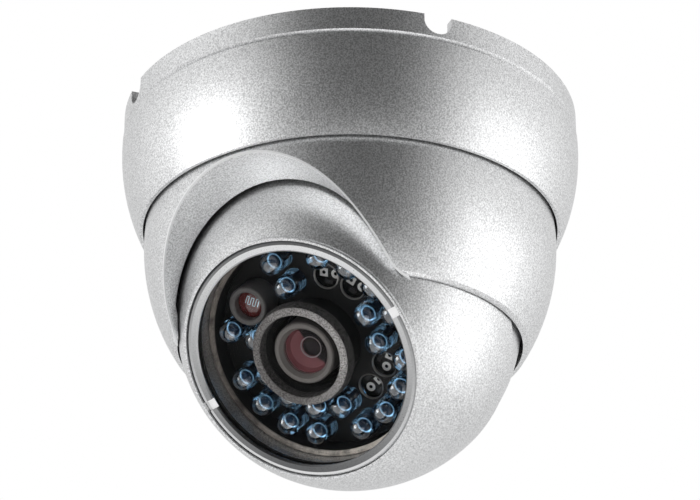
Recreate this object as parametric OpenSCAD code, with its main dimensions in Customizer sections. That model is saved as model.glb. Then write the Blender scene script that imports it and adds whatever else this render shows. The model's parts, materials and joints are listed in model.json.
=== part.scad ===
// Ceiling dome camera: a round base and cover, a turret that pans, an eyeball that tilts
// Millimetres. Origin at the centre of the ceiling face, +Z up into the ceiling, front is -Y

/* [Mounting base] */
// Diameter of the base where it meets the ceiling
base_d = 94; // [94:0.5:116]
// Height of the visible wall of the base
base_h = 5.4; // [5.2:0.1:8]
// Thickness of the wall of the base
base_wall = 2.2; // [1.8:0.1:3]
// Thickness of the floor of the base
floor_t = 1.6; // [1.2:0.1:2.4]
// Height of the dark groove between the base and the cover
groove_h = 0.5; // [0.3:0.1:1]
// Width of each cable notch in the wall
notch_w = 5.8; // [4:0.1:8]
// Depth of each cable notch below the ceiling face
notch_depth = 4.1; // [3:0.1:4.4]
// Turn of the first cable notch from the front
notch_turn = 54; // [50:1:60]
// Diameter of the circle of ceiling screw holes
screw_circle_d = 72; // [60:1:74]
// Radius of each ceiling screw hole
screw_hole_r = 2.2; // [1.6:0.1:2.6]
// Radius of the cable hole through the grommet
cable_hole_r = 3.2; // [2:0.1:4]

/* [Cover ring] */
// How far the cover stands out past the base
cover_proud = 0.25; // [0:0.05:0.8]
// How far the cover narrows from the base to its lower rim
cover_inset = 3.9; // [3:0.1:5]
// Thickness of the lower lip of the cover
cover_lip = 0.65; // [0.6:0.05:1]
// Wall of the upper part of the cover
cover_wall = 2; // [1.6:0.1:2.2]

/* [Turret] */
// Gap between the cover and the turret
turret_gap = 0.35; // [0.3:0.05:0.6]
// Wall of the turret shell
turret_wall = 2.2; // [1.8:0.1:2.4]
// Height of the turret seen below the cover, down to the ball centre
turret_drop = 18.3; // [16:0.1:20]
// Distance from the ball centre down to the rim of the turret
rim_drop = 7.5; // [6:0.1:9]
// Width of the flat under the rim of the turret
rim_w = 0.85; // [0.6:0.05:1.2]
// Gap between the turret rim and the eyeball
ball_gap = 0.35; // [0.3:0.05:0.6]
// Side clearance between the bezel and the arched opening
arch_gap = 1; // [0.8:0.1:1.6]
// Upward slope of the arched opening, in degrees
arch_slope = 10.5; // [6:0.5:12]
// Radius of the corners where the arch meets the rim
arch_corner = 1.8; // [1:0.1:3]
// Thickness of the collar that lines the arch
arch_wall = 1.6; // [1.2:0.1:2.2]

/* [Eyeball] */
// How much smaller the radius of the eyeball is than the turret
ball_inset = 6.9; // [6.7:0.1:7.1]
// Room between the floor of the base and the top of the eyeball
ball_head_gap = 3.2; // [2.8:0.1:5]
// How much smaller the rear half of the eyeball is
rear_step = 0.45; // [0.2:0.05:0.6]
// Angle of the view below the horizon at rest
view_drop = 43; // [20:1:80]
// How much smaller the bezel is than the eyeball, in radius
bezel_inset = 9.9; // [9.6:0.1:10.2]
// How far the bezel stands proud of the ball
bezel_proud = 0.75; // [0.4:0.05:1.2]
// Wall of the eyeball
ball_wall = 2.6; // [2.2:0.1:2.8]
// Width of the bright lip round the bezel
bezel_lip = 0.65; // [0.5:0.05:0.9]
// Width of the screwed ring that holds the window
ring_w = 2.25; // [1.8:0.05:2.4]
// Thickness of the screwed ring
ring_t = 0.95; // [0.8:0.05:1.2]
// Thickness of the window
window_t = 1.5; // [1:0.1:2]
// Radius of the tilt pins
pin_r = 1.5; // [1.2:0.05:1.8]
// Running clearance of the tilt pins and the lens thread
running = 0.06; // [0.02:0.01:0.1]

/* [Lights and lens] */
// Radius of the dome of each light
led_r = 2.4; // [2:0.05:2.45]
// How far the foot flange of each light stands out past its dome
led_flange_w = 0.3; // [0.15:0.05:0.35]
// Height of each light above its board
led_h = 8.75; // [8:0.05:9]
// Room between the tips of the lights and the window
led_to_window = 3.15; // [2.8:0.05:4]
// Radius of the thread of the lens
lens_thread_r = 5.95; // [4.95:0.05:7.2]
// How far the head of the lens stands out past its thread
lens_head_lip = 0.45; // [0.35:0.05:1]
// How far the front of the shade flares out past its body
shade_flare_w = 1.8; // [1.4:0.05:1.9]
// How far the lens sits to the left of the middle of the window
lens_shift = 1.4; // [0:0.1:1.5]

/* [Hidden] */
$fn = 96;
EPS = 0.01;

base_r = base_d / 2;
floor_top = -(base_h + groove_h - floor_t);
floor_bottom = -(base_h + groove_h);
cover_top = floor_bottom;
cover_bulge_r = base_r + cover_proud;
cover_bulge_drop = 2.1;
cover_rim_r = base_r - cover_inset;
cover_bore_r = base_r - cover_wall;

shell_r = cover_rim_r - cover_lip - turret_gap;
ball_r = shell_r - ball_inset;
ball_z = floor_bottom - ball_head_gap - ball_r;
cover_rim = ball_z + turret_drop;
rim_z = ball_z - rim_drop;
rim_in_r = sqrt(pow(ball_r + ball_gap, 2) - pow(rim_drop, 2));
rim_out_r = rim_in_r + rim_w;
shell_z = rim_z + sqrt(pow(shell_r, 2) - pow(rim_out_r, 2));

// pan bearing: base spigot, friction ring, turret flange, washer and cover ledge
fit_gap = 0.1;
slide_gap = 0.1;
spigot_h = 7;
spigot_w = 2.3;
pan_ring_t = 0.8;
flange_t = 1.8;
spigot_bottom = floor_bottom - spigot_h;
flange_top = spigot_bottom - pan_ring_t - slide_gap;
flange_bottom = flange_top - flange_t;
ledge_z = flange_bottom - slide_gap - pan_ring_t;
flange_r = cover_bore_r - 0.08;
neck_r = sqrt(pow(shell_r - turret_wall, 2) - pow(flange_top - shell_z, 2));
spigot_r = cover_bore_r - fit_gap;
stop_r = spigot_r - spigot_w - 1.6;
stop_pin_r = 1.2;
stop_overlap = 2;
boss_r = screw_hole_r + 2.2;
screw_count = 4;
first_screw_turn = notch_turn - 45;
notch_count = 4;
notch_r = notch_w / 2;
grommet_r = 8;
grommet_lip = 1;
lock_z = floor_bottom - 3.6;
lock_r = 1.5;
lock_turn = 160;

// arch in the front of the turret
arch_sink = 1.7;
arch_centre_z = rim_z - arch_sink;
foot_reach = 10;
arch_foot = arch_sink + (shell_r - rim_out_r + foot_reach) * tan(arch_slope);
cut_out = 34;
cut_in = 26;

// eyeball stack, measured along the view from the ball centre
bezel_r = ball_r - bezel_inset;
face_z = sqrt(pow(ball_r, 2) - pow(bezel_r, 2)) + bezel_proud;
lip_reach = sqrt(pow(face_z, 2) + pow(bezel_r, 2)) + 0.4;
ring_r = bezel_r - bezel_lip - fit_gap;
ring_top = face_z - 0.3;
window_top = ring_top - ring_t;
window_bottom = window_top - window_t;
window_r = ring_r - 0.25;
gasket_t = 0.6;
seat_z = window_bottom - gasket_t;
bore_r = ring_r - 1.15;
tube_wall = 1.8;
led_flange_r = led_r + led_flange_w;
led_tip = window_bottom - led_to_window;
board_t = 1.6;
board_top = led_tip - led_h;
board_bottom = board_top - board_t;
led_flange_t = 1;
mask_t = 0.8;
mask_bottom = board_top + led_flange_t + 0.2;
mask_top = mask_bottom + mask_t;
liner_wall = 1.1;
liner_h = 5.1;
liner_in_r = bore_r - fit_gap - liner_wall;
led_outer_r = liner_in_r - led_flange_r - 0.8;
led_inner_r = led_outer_r - 2 * led_flange_r - 0.1;
led_hole_r = led_r + 0.15;
lead_pitch = 2.54;
lead_r = 0.28;
split_z = 0.6;
rear_r = ball_r - rear_step;
back_z = -(rear_r - 8.75);
seat_wall = 1.4;
lap_r = ball_r - ball_wall - fit_gap;
lap_h = 4;

// where the lights stand round the lens
led_groups = [36, 127, 217.5, 307.5];
led_step = 19.6;
led_outer_at = concat(
    [for (g = [led_groups[0], led_groups[2], led_groups[3]], k = [-1.5:1:1.5]) g + k * led_step],
    [for (k = [-1.5, 1.5]) led_groups[1] + k * led_step]);
led_inner_at = [97, 160, 194, 220, 246, 270.5, 348, 14];
empty_at = [40, 66, 295, 321];
post_at = [for (g = led_groups) g + 45.3];
led_count = len(led_outer_at) + len(led_inner_at);
sensor_at = 132.3;
sensor_tube_r = 4.05;
sensor_tube_h = 7.6;
sensor_r = 2.8;

// lens
shade_body_r = led_inner_r - led_flange_r - 0.3 - lens_shift;
shade_r = shade_body_r + shade_flare_w;
shade_bore_r = shade_body_r - 1.2;
shade_flare = led_tip + 0.3;
lens_front = window_bottom - 2.05;
lens_head_r = lens_thread_r + lens_head_lip;
glass_r = lens_thread_r - 1.2;
lens_bore_r = lens_thread_r - 1.75;
glass_t = 3.4;
holder_wall = 1.35;
holder_r = lens_thread_r + running + holder_wall;
holder_neck_r = min(holder_r, shade_bore_r - 0.15);
holder_top = board_top + 2;
cam_board_r = led_outer_r + 2.2;
cam_board_top = board_bottom - 7.4;
sensor_room = 2;
filter_t = 0.5;
lens_back = cam_board_top + sensor_room + filter_t + 0.5;
holder_screw_r = 10.2;
power_board_top = cam_board_top - board_t - 8;
post_r = 1.9;
screw_r = 0.95;
head_r = 1.6;
head_h = 1.1;

// screws that join the two halves of the eyeball, and the tilt pins
join_r = ball_r - 7.4;
join_at = [30, 150, 270];
join_head_z = -8;
bush_r = pin_r + 1.1;
bush_in = lap_r - seat_wall - 1.3;
bush_out = ball_r - 0.8;
pin_in = bush_in - 0.4;
pin_out = sqrt(pow(shell_r, 2) - pow(ball_z - shell_z, 2)) - 1;
boss_tilt_r = 4;
arch_r = bezel_r + arch_gap;

function polar(r, a) = [r * cos(a), r * sin(a)];
function led_pos(i) = i < len(led_outer_at)
    ? polar(led_outer_r, led_outer_at[i])
    : polar(led_inner_r, led_inner_at[i - len(led_outer_at)]);
function led_turn(i) = i < len(led_outer_at)
    ? led_outer_at[i]
    : led_inner_at[i - len(led_outer_at)];
sensor_pos = polar(led_inner_r + 2.6, sensor_at);
function led_name(i) = str("led_", i < 9 ? "0" : "", i + 1);

// places the children on the view axis: their +Z looks out of the window
module aim() {
    translate([0, 0, ball_z]) rotate([90 + view_drop, 0, 0]) children();
}

// places the children on the axis of the lens, which runs beside the view axis
module aim_lens() {
    aim() translate([-lens_shift, 0, 0]) children();
}

// a plain ring between two heights
module ring(r_out, r_in, z0, z1) {
    rotate_extrude() translate([r_in, z0]) square([r_out - r_in, z1 - z0]);
}

// a cylinder from one height to another
module post(r, z0, z1) {
    translate([0, 0, z0]) cylinder(r = r, h = z1 - z0);
}

// a radial cylinder along X, on both sides of the eyeball
module both_sides(r, x0, x1) {
    for (s = [-1, 1]) translate([s * x0, 0, 0]) rotate([0, s * 90, 0]) cylinder(r = r, h = x1 - x0);
}

module base_tray() {
    color("silver") difference() {
        union() {
            rotate_extrude() difference() {
                polygon([[0, 0], [base_r, 0], [base_r, -base_h + 0.6], [base_r - 0.6, -base_h],
                    [base_r - 0.8, -base_h], [base_r - 0.8, floor_bottom], [spigot_r, floor_bottom],
                    [spigot_r, spigot_bottom + 0.3], [spigot_r - 0.3, spigot_bottom],
                    [spigot_r - spigot_w, spigot_bottom], [spigot_r - spigot_w, floor_bottom],
                    [0, floor_bottom]]);
                translate([0, floor_top]) square([base_r - base_wall, 20]);
            }
            for (k = [0:screw_count - 1]) rotate([0, 0, screw_turn(k)])
                translate([0, -screw_circle_d / 2, floor_top - EPS])
                    cylinder(r = boss_r, h = -floor_top + EPS);
            translate([0, stop_r, 0]) post(stop_pin_r, flange_top + 0.6, floor_top - 0.5);
        }
        for (k = [0:screw_count - 1]) rotate([0, 0, screw_turn(k)])
            translate([0, -screw_circle_d / 2, 0]) post(screw_hole_r, floor_bottom - 1, 1);
        for (k = [0:notch_count - 1]) rotate([0, 0, notch_turn + k * 360 / notch_count])
            cable_notch();
        post(grommet_r, floor_bottom - 1, 1);
        lock_place() post(lock_r, spigot_r - spigot_w - 1, base_r + 1);
    }
}

// places the children on the axis of the lock screw: their +Z points out of the cover
module lock_place() {
    translate([0, 0, lock_z]) rotate([90, 0, lock_turn]) children();
}

function screw_turn(k) = first_screw_turn + k * 360 / screw_count;

// a U-shaped notch in the rim of the wall, at the front
module cable_notch() {
    translate([0, -(base_r - base_wall / 2), 0]) {
        translate([0, 0, notch_r - notch_depth]) rotate([90, 0, 0])
            cylinder(r = notch_r, h = base_wall + 3, center = true);
        translate([-notch_r, -base_wall / 2 - 1.5, notch_r - notch_depth])
            cube([notch_w, base_wall + 3, notch_depth + 1]);
    }
}

module cable_grommet() {
    color("#202020") rotate_extrude() polygon([
        [cable_hole_r, floor_bottom - grommet_lip], [grommet_r + 1.5, floor_bottom - grommet_lip],
        [grommet_r + 2, floor_bottom], [grommet_r, floor_bottom], [grommet_r, floor_top],
        [grommet_r + 2, floor_top], [grommet_r + 1.5, floor_top + grommet_lip],
        [cable_hole_r, floor_top + grommet_lip]]);
}

module cover_ring() {
    bulge_z = cover_top - cover_bulge_drop;
    fall = bulge_z - cover_rim;
    narrow = cover_bulge_r - cover_rim_r;
    arc_r = (pow(fall, 2) + pow(narrow, 2)) / (2 * narrow);
    color("silver") difference() {
        rotate_extrude() difference() {
            intersection() {
                translate([cover_bulge_r - arc_r, bulge_z]) circle(arc_r, $fn = 360);
                translate([0, cover_rim]) square([base_r + 9, cover_top - cover_rim]);
            }
            translate([0, ledge_z]) square([cover_bore_r, 60]);
            translate([0, cover_rim - 1]) square([cover_rim_r - cover_lip, 60]);
        }
        lock_place() post(lock_r, cover_bore_r - 2, base_r + 2);
    }
}

module cover_lock_screw() {
    screw_in = spigot_r - spigot_w + 0.1;
    screw_out = base_r - 0.5;
    color("#303030") lock_place() difference() {
        post(lock_r - 0.03, screw_in, screw_out);
        translate([0, 0, screw_out - 1.6]) cylinder(r = 0.87, h = 3, $fn = 6);
    }
}

module pan_friction_ring() {
    color("#252525") ring(spigot_r - 0.3, spigot_r - spigot_w + 0.2,
        spigot_bottom - pan_ring_t, spigot_bottom);
}

module pan_bearing_washer() {
    color("white") ring(cover_bore_r - 0.2, cover_rim_r - cover_lip + 0.25,
        ledge_z, ledge_z + pan_ring_t);
}

// outside of the turret as a turned profile, with a small bevel under the rim
module turret_outline() {
    intersection() {
        translate([0, shell_z]) circle(shell_r, $fn = 360);
        polygon([[0, rim_z], [rim_out_r - 0.35, rim_z], [rim_out_r + 0.3, rim_z + 0.45],
            [shell_r + 5, rim_z + 0.45], [shell_r + 5, flange_top], [0, flange_top]]);
    }
}

// the arch seen from the front: a round top, straight sides and feet that flare out smoothly
module arch(r, foot) {
    reach = r + arch_corner - 0.02;
    flare_x = sqrt(pow(reach, 2) - pow(foot + arch_corner, 2));
    touch = r / reach;
    inside_x = 0.6 * flare_x;
    circle(r, $fn = 180);
    translate([-r, -30]) square([2 * r, 30]);
    for (s = [0, 1]) mirror([s, 0]) difference() {
        polygon([[inside_x, foot - 5], [flare_x, foot - 5], [flare_x, foot + arch_corner],
            [flare_x * touch, (foot + arch_corner) * touch],
            [inside_x, (foot + arch_corner) * touch]]);
        translate([flare_x, foot + arch_corner]) circle(arch_corner);
    }
}

// runs an outline through the front of the turret, rising outwards
module through_front() {
    translate([0, -shell_r, arch_centre_z]) rotate([90 - arch_slope, 0, 0])
        translate([0, 0, -cut_in]) linear_extrude(cut_in + cut_out) children();
}

module turret_shell() {
    color("silver") union() {
        difference() {
            union() {
                rotate_extrude() difference() {
                    union() {
                        turret_outline();
                        translate([neck_r, flange_bottom]) square([flange_r - neck_r, flange_t]);
                    }
                    translate([0, shell_z]) circle(shell_r - turret_wall, $fn = 360);
                    translate([0, ball_z]) circle(ball_r + ball_gap, $fn = 360);
                }
                intersection() {
                    rotate_extrude() turret_outline();
                    translate([0, 0, ball_z]) both_sides(boss_tilt_r, ball_r - 3, shell_r);
                }
                // the small lug that meets the stop pin after nearly a full turn
                translate([-stop_pin_r, -stop_r - stop_pin_r, flange_top - 0.5])
                    cube([2 * stop_pin_r, 2 * stop_pin_r, 1.1 + stop_overlap]);
            }
            translate([0, 0, ball_z]) sphere(ball_r + ball_gap, $fn = 180);
            through_front() arch(arch_r, arch_foot);
            translate([0, 0, ball_z]) both_sides(pin_r + 0.02, ball_r - 4, pin_out + 0.2);
        }
        arch_collar();
    }
}

// the wall that lines the arch, from the outside of the turret to near the eyeball
module arch_collar() {
    difference() {
        intersection() {
            rotate_extrude() turret_outline();
            through_front() difference() {
                arch(arch_r + arch_wall, arch_foot);
                arch(arch_r, arch_foot);
            }
            translate([-shell_r, -shell_r - 5, rim_z]) cube([2 * shell_r, shell_r, 60]);
        }
        translate([0, 0, ball_z]) sphere(lip_reach, $fn = 180);
    }
}

module tilt_pins() {
    color("gray") translate([0, 0, ball_z]) both_sides(pin_r, pin_in, pin_out);
}

module tilt_bushes() {
    color("#d8b060") translate([0, 0, ball_z]) difference() {
        union() {
            both_sides(bush_r, bush_in, bush_out);
            both_sides(bush_r + 1, bush_in, bush_in + 1);
        }
        both_sides(pin_r + running, bush_in - 1, bush_out + 1);
    }
}

module front_housing() {
    cavity_r = ball_r - ball_wall;
    color("silver") aim() difference() {
        union() {
            rotate_extrude() difference() {
                union() {
                    intersection() {
                        circle(ball_r, $fn = 360);
                        translate([0, split_z]) square([ball_r, face_z - bezel_proud - split_z]);
                    }
                    polygon([[0, split_z + 5], [bezel_r, split_z + 5], [bezel_r, face_z - 0.2],
                        [bezel_r - 0.2, face_z], [0, face_z]]);
                }
                difference() {
                    union() {
                        circle(cavity_r, $fn = 360);
                        translate([0, split_z - 1]) square([lap_r + fit_gap, 1 + lap_h + 0.8]);
                    }
                    translate([0, board_bottom - 2]) square([bore_r + tube_wall, 90]);
                }
                translate([0, board_bottom]) square([bore_r, 90]);
                square([bore_r - 1.9, 90]);
                translate([0, seat_z]) square([ring_r + fit_gap, 90]);
            }
            for (a = join_at) rotate([0, 0, a]) translate([join_r, 0, 0])
                post(2.8, split_z, board_top);
        }
        rotate_extrude() translate([0, board_bottom]) square([bore_r, 5]);
        for (a = join_at) rotate([0, 0, a]) translate([join_r, 0, 0]) post(1.25, -1, board_bottom);
        both_sides(bush_r + 0.02, bush_in - 1, ball_r + 2);
    }
}

module rear_housing() {
    inner_r = rear_r - ball_wall + 0.1;
    color("silver") aim() difference() {
        union() {
            rotate_extrude() difference() {
                union() {
                    intersection() {
                        circle(rear_r, $fn = 360);
                        translate([0, back_z]) square([rear_r, split_z - back_z]);
                    }
                    translate([0, -3]) square([lap_r, 3 + split_z + lap_h]);
                }
                intersection() {
                    circle(inner_r, $fn = 360);
                    translate([0, back_z + 2.2]) square([rear_r, -back_z - 2.2 - 4]);
                }
                translate([0, -4.5]) square([lap_r - seat_wall, 30]);
                translate([lap_r - 0.7, split_z + lap_h - 1.4]) square([2, 1]);
            }
            for (a = join_at) rotate([0, 0, a]) translate([join_r, 0, 0])
                intersection() {
                    post(3.3, back_z, split_z - 0.1);
                    rotate([0, 0, -a]) translate([-join_r * cos(a), -join_r * sin(a), 0])
                        sphere(rear_r - 0.5);
                }
        }
        for (a = join_at) rotate([0, 0, a]) translate([join_r, 0, 0]) {
            post(1.3, back_z - 9, split_z + 1);
            post(2.4, back_z - 9, join_head_z);
        }
        post(4, back_z - 5, back_z + 5);
        both_sides(bush_r + 0.02, bush_in - 1, ball_r + 2);
    }
}

module housing_seal() {
    color("#202020") aim() ring(lap_r + 0.08, lap_r - 0.68,
        split_z + lap_h - 1.35, split_z + lap_h - 0.45);
}

module housing_screws() {
    color("gray") aim() for (a = join_at) rotate([0, 0, a]) translate([join_r, 0, 0])
        difference() {
            union() {
                post(1.2, join_head_z - 1, board_bottom - 1);
                post(2.2, join_head_z - 2, join_head_z);
            }
            translate([0, 0, join_head_z - 2.5]) cylinder(r = 1.1, h = 1.5, $fn = 6);
        }
}

module rear_grommet() {
    color("#202020") aim() rotate_extrude() polygon([[2, back_z - 0.9], [5, back_z - 0.9],
        [5.4, back_z], [4, back_z], [4, back_z + 2.2], [5.4, back_z + 2.2],
        [5, back_z + 3.1], [2, back_z + 3.1]]);
}

module window_ring() {
    color("gainsboro") aim() difference() {
        rotate_extrude() polygon([[ring_r - ring_w + 0.25, window_top], [ring_r, window_top],
            [ring_r, ring_top - 0.35], [ring_r - 0.35, ring_top],
            [ring_r - ring_w + 0.3, ring_top], [ring_r - ring_w, ring_top - 0.3],
            [ring_r - ring_w, window_top + 0.25]]);
        rotate([0, 0, 10]) for (s = [-1, 1]) translate([s * ring_r - 3, -1, ring_top - 0.6])
            cube([6, 2, 2]);
    }
}

module window_glass() {
    color([0.9, 0.95, 1, 0.3]) aim() post(window_r, window_bottom, window_top);
}

module window_gasket() {
    color("#181818") aim() ring(window_r, bore_r - 0.6, seat_z, window_bottom);
}

module face_liner() {
    color("#1c1a18") aim() rotate_extrude() polygon([
        [liner_in_r, mask_top], [bore_r - fit_gap, mask_top],
        [bore_r - fit_gap, mask_top + liner_h - 0.2], [bore_r - fit_gap - 0.2, mask_top + liner_h],
        [liner_in_r + 0.3, mask_top + liner_h], [liner_in_r, mask_top + liner_h - 0.3]]);
}

module led_mask() {
    color("#141414") aim() difference() {
        post(bore_r - fit_gap, mask_bottom, mask_top);
        translate([-lens_shift, 0, 0]) post(shade_body_r + 0.15, 0, mask_top + 1);
        for (i = [0:led_count - 1]) translate(led_pos(i)) post(led_hole_r, 0, mask_top + 1);
        for (a = empty_at) translate(polar(led_inner_r, a)) post(led_hole_r, 0, mask_top + 1);
        translate(sensor_pos) post(sensor_tube_r + 0.1, 0, mask_top + 1);
    }
}

// the two lead holes of one light, side by side round the lens
module lead_holes(r, z0, z1) {
    for (s = [-1, 1]) translate([0, s * lead_pitch / 2, 0]) post(r, z0, z1);
}

module led_board() {
    color("#10301c") aim() difference() {
        post(bore_r - fit_gap, board_bottom, board_top);
        translate([-lens_shift, 0, 0]) post(holder_r + 0.3, 0, 90);
        for (i = [0:led_count - 1]) translate(led_pos(i)) rotate([0, 0, led_turn(i)])
            lead_holes(lead_r + 0.1, 0, 90);
        for (a = empty_at) translate(polar(led_inner_r, a)) rotate([0, 0, a])
            lead_holes(lead_r + 0.1, 0, 90);
        for (a = post_at) translate(polar(led_outer_r, a)) post(screw_r + 0.1, 0, 90);
    }
}

module board_pads() {
    color("white") aim() for (a = empty_at) translate(polar(led_inner_r, a)) rotate([0, 0, a]) {
        translate([0, -lead_pitch / 2, 0]) ring(0.95, lead_r + 0.1, board_top, board_top + 0.1);
        difference() {
            translate([-0.85, lead_pitch / 2 - 0.85, board_top]) cube([1.7, 1.7, 0.1]);
            translate([0, lead_pitch / 2, 0]) post(lead_r + 0.1, 0, 90);
        }
    }
}

module board_resistors() {
    color("#303030") aim() for (a = empty_at) translate(polar(led_inner_r, a)) rotate([0, 0, a])
        for (s = [-1, 1]) translate([s * 1.75 - 0.4, -0.8, board_top]) cube([0.8, 1.6, 0.45]);
}

module led(i) {
    dome_z = led_tip - led_r;
    color("#4a86c8") aim() translate(led_pos(i)) rotate([0, 0, led_turn(i)]) {
        intersection() {
            rotate_extrude() {
                translate([0, board_top]) square([led_flange_r, led_flange_t]);
                translate([0, board_top]) square([led_r, dome_z - board_top]);
                intersection() {
                    translate([0, dome_z]) circle(led_r);
                    translate([0, dome_z - 1]) square([9, 9]);
                }
            }
            translate([-9, -led_r - 0.05, 0]) cube([18, 2 * led_flange_r, 90]);
        }
        lead_holes(lead_r, board_bottom - 1, board_top + 0.5);
    }
}

module light_sensor_tube() {
    color("#5a5a5a") aim() translate(sensor_pos) rotate_extrude() polygon([
        [sensor_r + 0.1, board_top], [sensor_tube_r, board_top],
        [sensor_tube_r, board_top + sensor_tube_h - 0.25],
        [sensor_tube_r - 0.25, board_top + sensor_tube_h],
        [sensor_r + 0.35, board_top + sensor_tube_h],
        [sensor_r + 0.1, board_top + sensor_tube_h - 0.25]]);
}

module light_sensor() {
    dome_r = 5.2;
    top = board_top + sensor_tube_h - 0.9;
    color("#7a2a24") aim() translate(sensor_pos) rotate_extrude() intersection() {
        translate([0, board_top]) square([sensor_r, sensor_tube_h]);
        translate([0, top - dome_r]) circle(dome_r, $fn = 180);
    }
}

module lens_shade() {
    mouth_r = shade_r - 2;
    color("#4c4643") aim_lens() rotate_extrude() polygon([
        [shade_bore_r, board_top], [shade_body_r, board_top], [shade_body_r, shade_flare],
        [shade_r, shade_flare], [shade_r - 0.4, window_bottom - 0.3],
        [shade_r - 0.6, window_bottom], [mouth_r + 0.2, window_bottom],
        [mouth_r, window_bottom - 0.2], [mouth_r - 0.1, shade_flare - 0.4],
        [shade_bore_r, shade_flare - 1.6]]);
}

module lens_holder() {
    color("#202020") aim_lens() difference() {
        union() {
            post(holder_r, cam_board_top + 3, board_top);
            post(holder_neck_r, board_top - 1, holder_top);
            translate([-8.2, -8.2, cam_board_top]) cube([16.4, 16.4, 3.6]);
            translate([-12.4, -2.4, cam_board_top]) cube([24.8, 4.8, 2.2]);
        }
        post(lens_thread_r + running, cam_board_top + sensor_room, holder_top + 1);
        translate([-6.4, -6.4, cam_board_top - 1]) cube([12.8, 12.8, 3]);
        for (s = [-1, 1]) translate([s * holder_screw_r, 0, 0]) post(screw_r, cam_board_top - 1, cam_board_top + 2);
    }
}

module image_sensor() {
    color("#2a3038") aim_lens() {
        translate([-5, -5, cam_board_top]) cube([10, 10, 1]);
        translate([-3.4, -2.6, cam_board_top + 1]) cube([6.8, 5.2, 0.35]);
    }
}

module ir_filter() {
    color([0.5, 0.75, 0.9, 0.6]) aim_lens()
        post(lens_thread_r, cam_board_top + sensor_room, cam_board_top + sensor_room + filter_t);
}

// a round board with four post holes
module round_board(top) {
    difference() {
        post(cam_board_r, top - board_t, top);
        for (a = post_at) translate(polar(led_outer_r, a)) post(screw_r + 0.1, top - 9, top + 1);
        children();
    }
}

module camera_board() {
    color("#10301c") aim() round_board(cam_board_top)
        for (s = [-1, 1]) translate([s * holder_screw_r - lens_shift, 0, 0])
            post(screw_r + 0.1, cam_board_top - 9, 90);
}

module power_board() {
    color("#10301c") aim() round_board(power_board_top);
}

module power_connector() {
    color("ivory") aim() difference() {
        translate([-6, -3, power_board_top - board_t - 5]) cube([12, 6, 5]);
        translate([-5, -2, power_board_top - board_t - 6]) cube([10, 4, 5]);
    }
}

module board_posts() {
    color("#c0a060") aim() for (a = post_at) translate(polar(led_outer_r, a)) {
        board_post(cam_board_top, board_bottom);
        board_post(power_board_top, cam_board_top - board_t);
    }
}

// one six-sided spacer with a hole through it
module board_post(z0, z1) {
    difference() {
        translate([0, 0, z0]) cylinder(r = post_r, h = z1 - z0, $fn = 6);
        post(screw_r + 0.02, z0 - 1, z1 + 1);
    }
}

module board_screws() {
    color("gray") aim() {
        for (a = post_at) translate(polar(led_outer_r, a)) {
            pan_screw(board_top, -1, board_t + 3);
            pan_screw(power_board_top - board_t, 1, board_t + 3);
        }
        for (s = [-1, 1]) translate([s * holder_screw_r - lens_shift, 0, 0])
            pan_screw(cam_board_top - board_t, 1, board_t + 1.8);
    }
}

// a small screw whose head sits at a height; its shank runs up (1) or down (-1)
module pan_screw(seat, way, length) {
    translate([0, 0, seat]) mirror([0, 0, way > 0 ? 0 : 1]) difference() {
        union() {
            cylinder(r = screw_r, h = length);
            translate([0, 0, -head_h]) cylinder(r = head_r, h = head_h);
        }
        translate([-0.2, -1, -head_h - 1]) cube([0.4, 2, 1.5]);
        translate([-1, -0.2, -head_h - 1]) cube([2, 0.4, 1.5]);
    }
}

module lens_barrel() {
    color("#3a3634") aim_lens() rotate_extrude() polygon([
        [lens_bore_r, lens_back], [lens_thread_r - 0.4, lens_back], [lens_thread_r, lens_back + 0.4],
        [lens_thread_r, holder_top + 0.5], [lens_head_r, holder_top + 0.5],
        [lens_head_r, lens_front - 0.3], [lens_head_r - 0.3, lens_front],
        [glass_r + 0.6, lens_front], [glass_r, lens_front - 0.9], [glass_r, lens_front - glass_t],
        [lens_bore_r, lens_front - glass_t]]);
}

module lens_front_element() {
    crown_r = 9;
    color([0.45, 0.2, 0.2, 0.7]) aim_lens() rotate_extrude() intersection() {
        translate([0, lens_front - glass_t]) square([glass_r - 0.02, 3]);
        translate([0, lens_front - 0.85 - crown_r]) circle(crown_r, $fn = 240);
    }
}

module lens_iris() {
    outer_r = lens_bore_r - 0.02;
    color("black") aim_lens() rotate_extrude() polygon([[1.2, lens_front - 4.4],
        [outer_r, lens_front - 4.8], [outer_r, lens_front - 4], [2.2, lens_front - 4]]);
}

module lens_rear_element() {
    color([0.6, 0.7, 0.9, 0.6]) aim_lens()
        post(lens_bore_r - 0.02, lens_back + 0.5, lens_back + 2.5);
}

base_tray();
cable_grommet();
cover_ring();
cover_lock_screw();
pan_friction_ring();
pan_bearing_washer();
turret_shell();
tilt_pins();
front_housing();
rear_housing();
housing_seal();
housing_screws();
tilt_bushes();
rear_grommet();
window_ring();
window_glass();
window_gasket();
face_liner();
led_mask();
led_board();
board_pads();
board_resistors();
light_sensor_tube();
light_sensor();
lens_shade();
lens_holder();
image_sensor();
ir_filter();
camera_board();
power_board();
power_connector();
board_posts();
board_screws();
lens_barrel();
lens_front_element();
lens_iris();
lens_rear_element();
for (i = [0:led_count - 1]) led(i);
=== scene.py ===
# %% [markdown]
# A ceiling dome camera hangs from a round base. The measured parts come in ready made,
# each on the body it moves with. This lesson gives them their finishes and adds the small
# things that only the eye needs, such as the metal dishes inside the lights.

# %% Load the frame and keep its size
import bmesh
import bpy
import json
from math import atan2, cos, pi, radians, sin
from mathutils import Matrix, Vector


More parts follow.
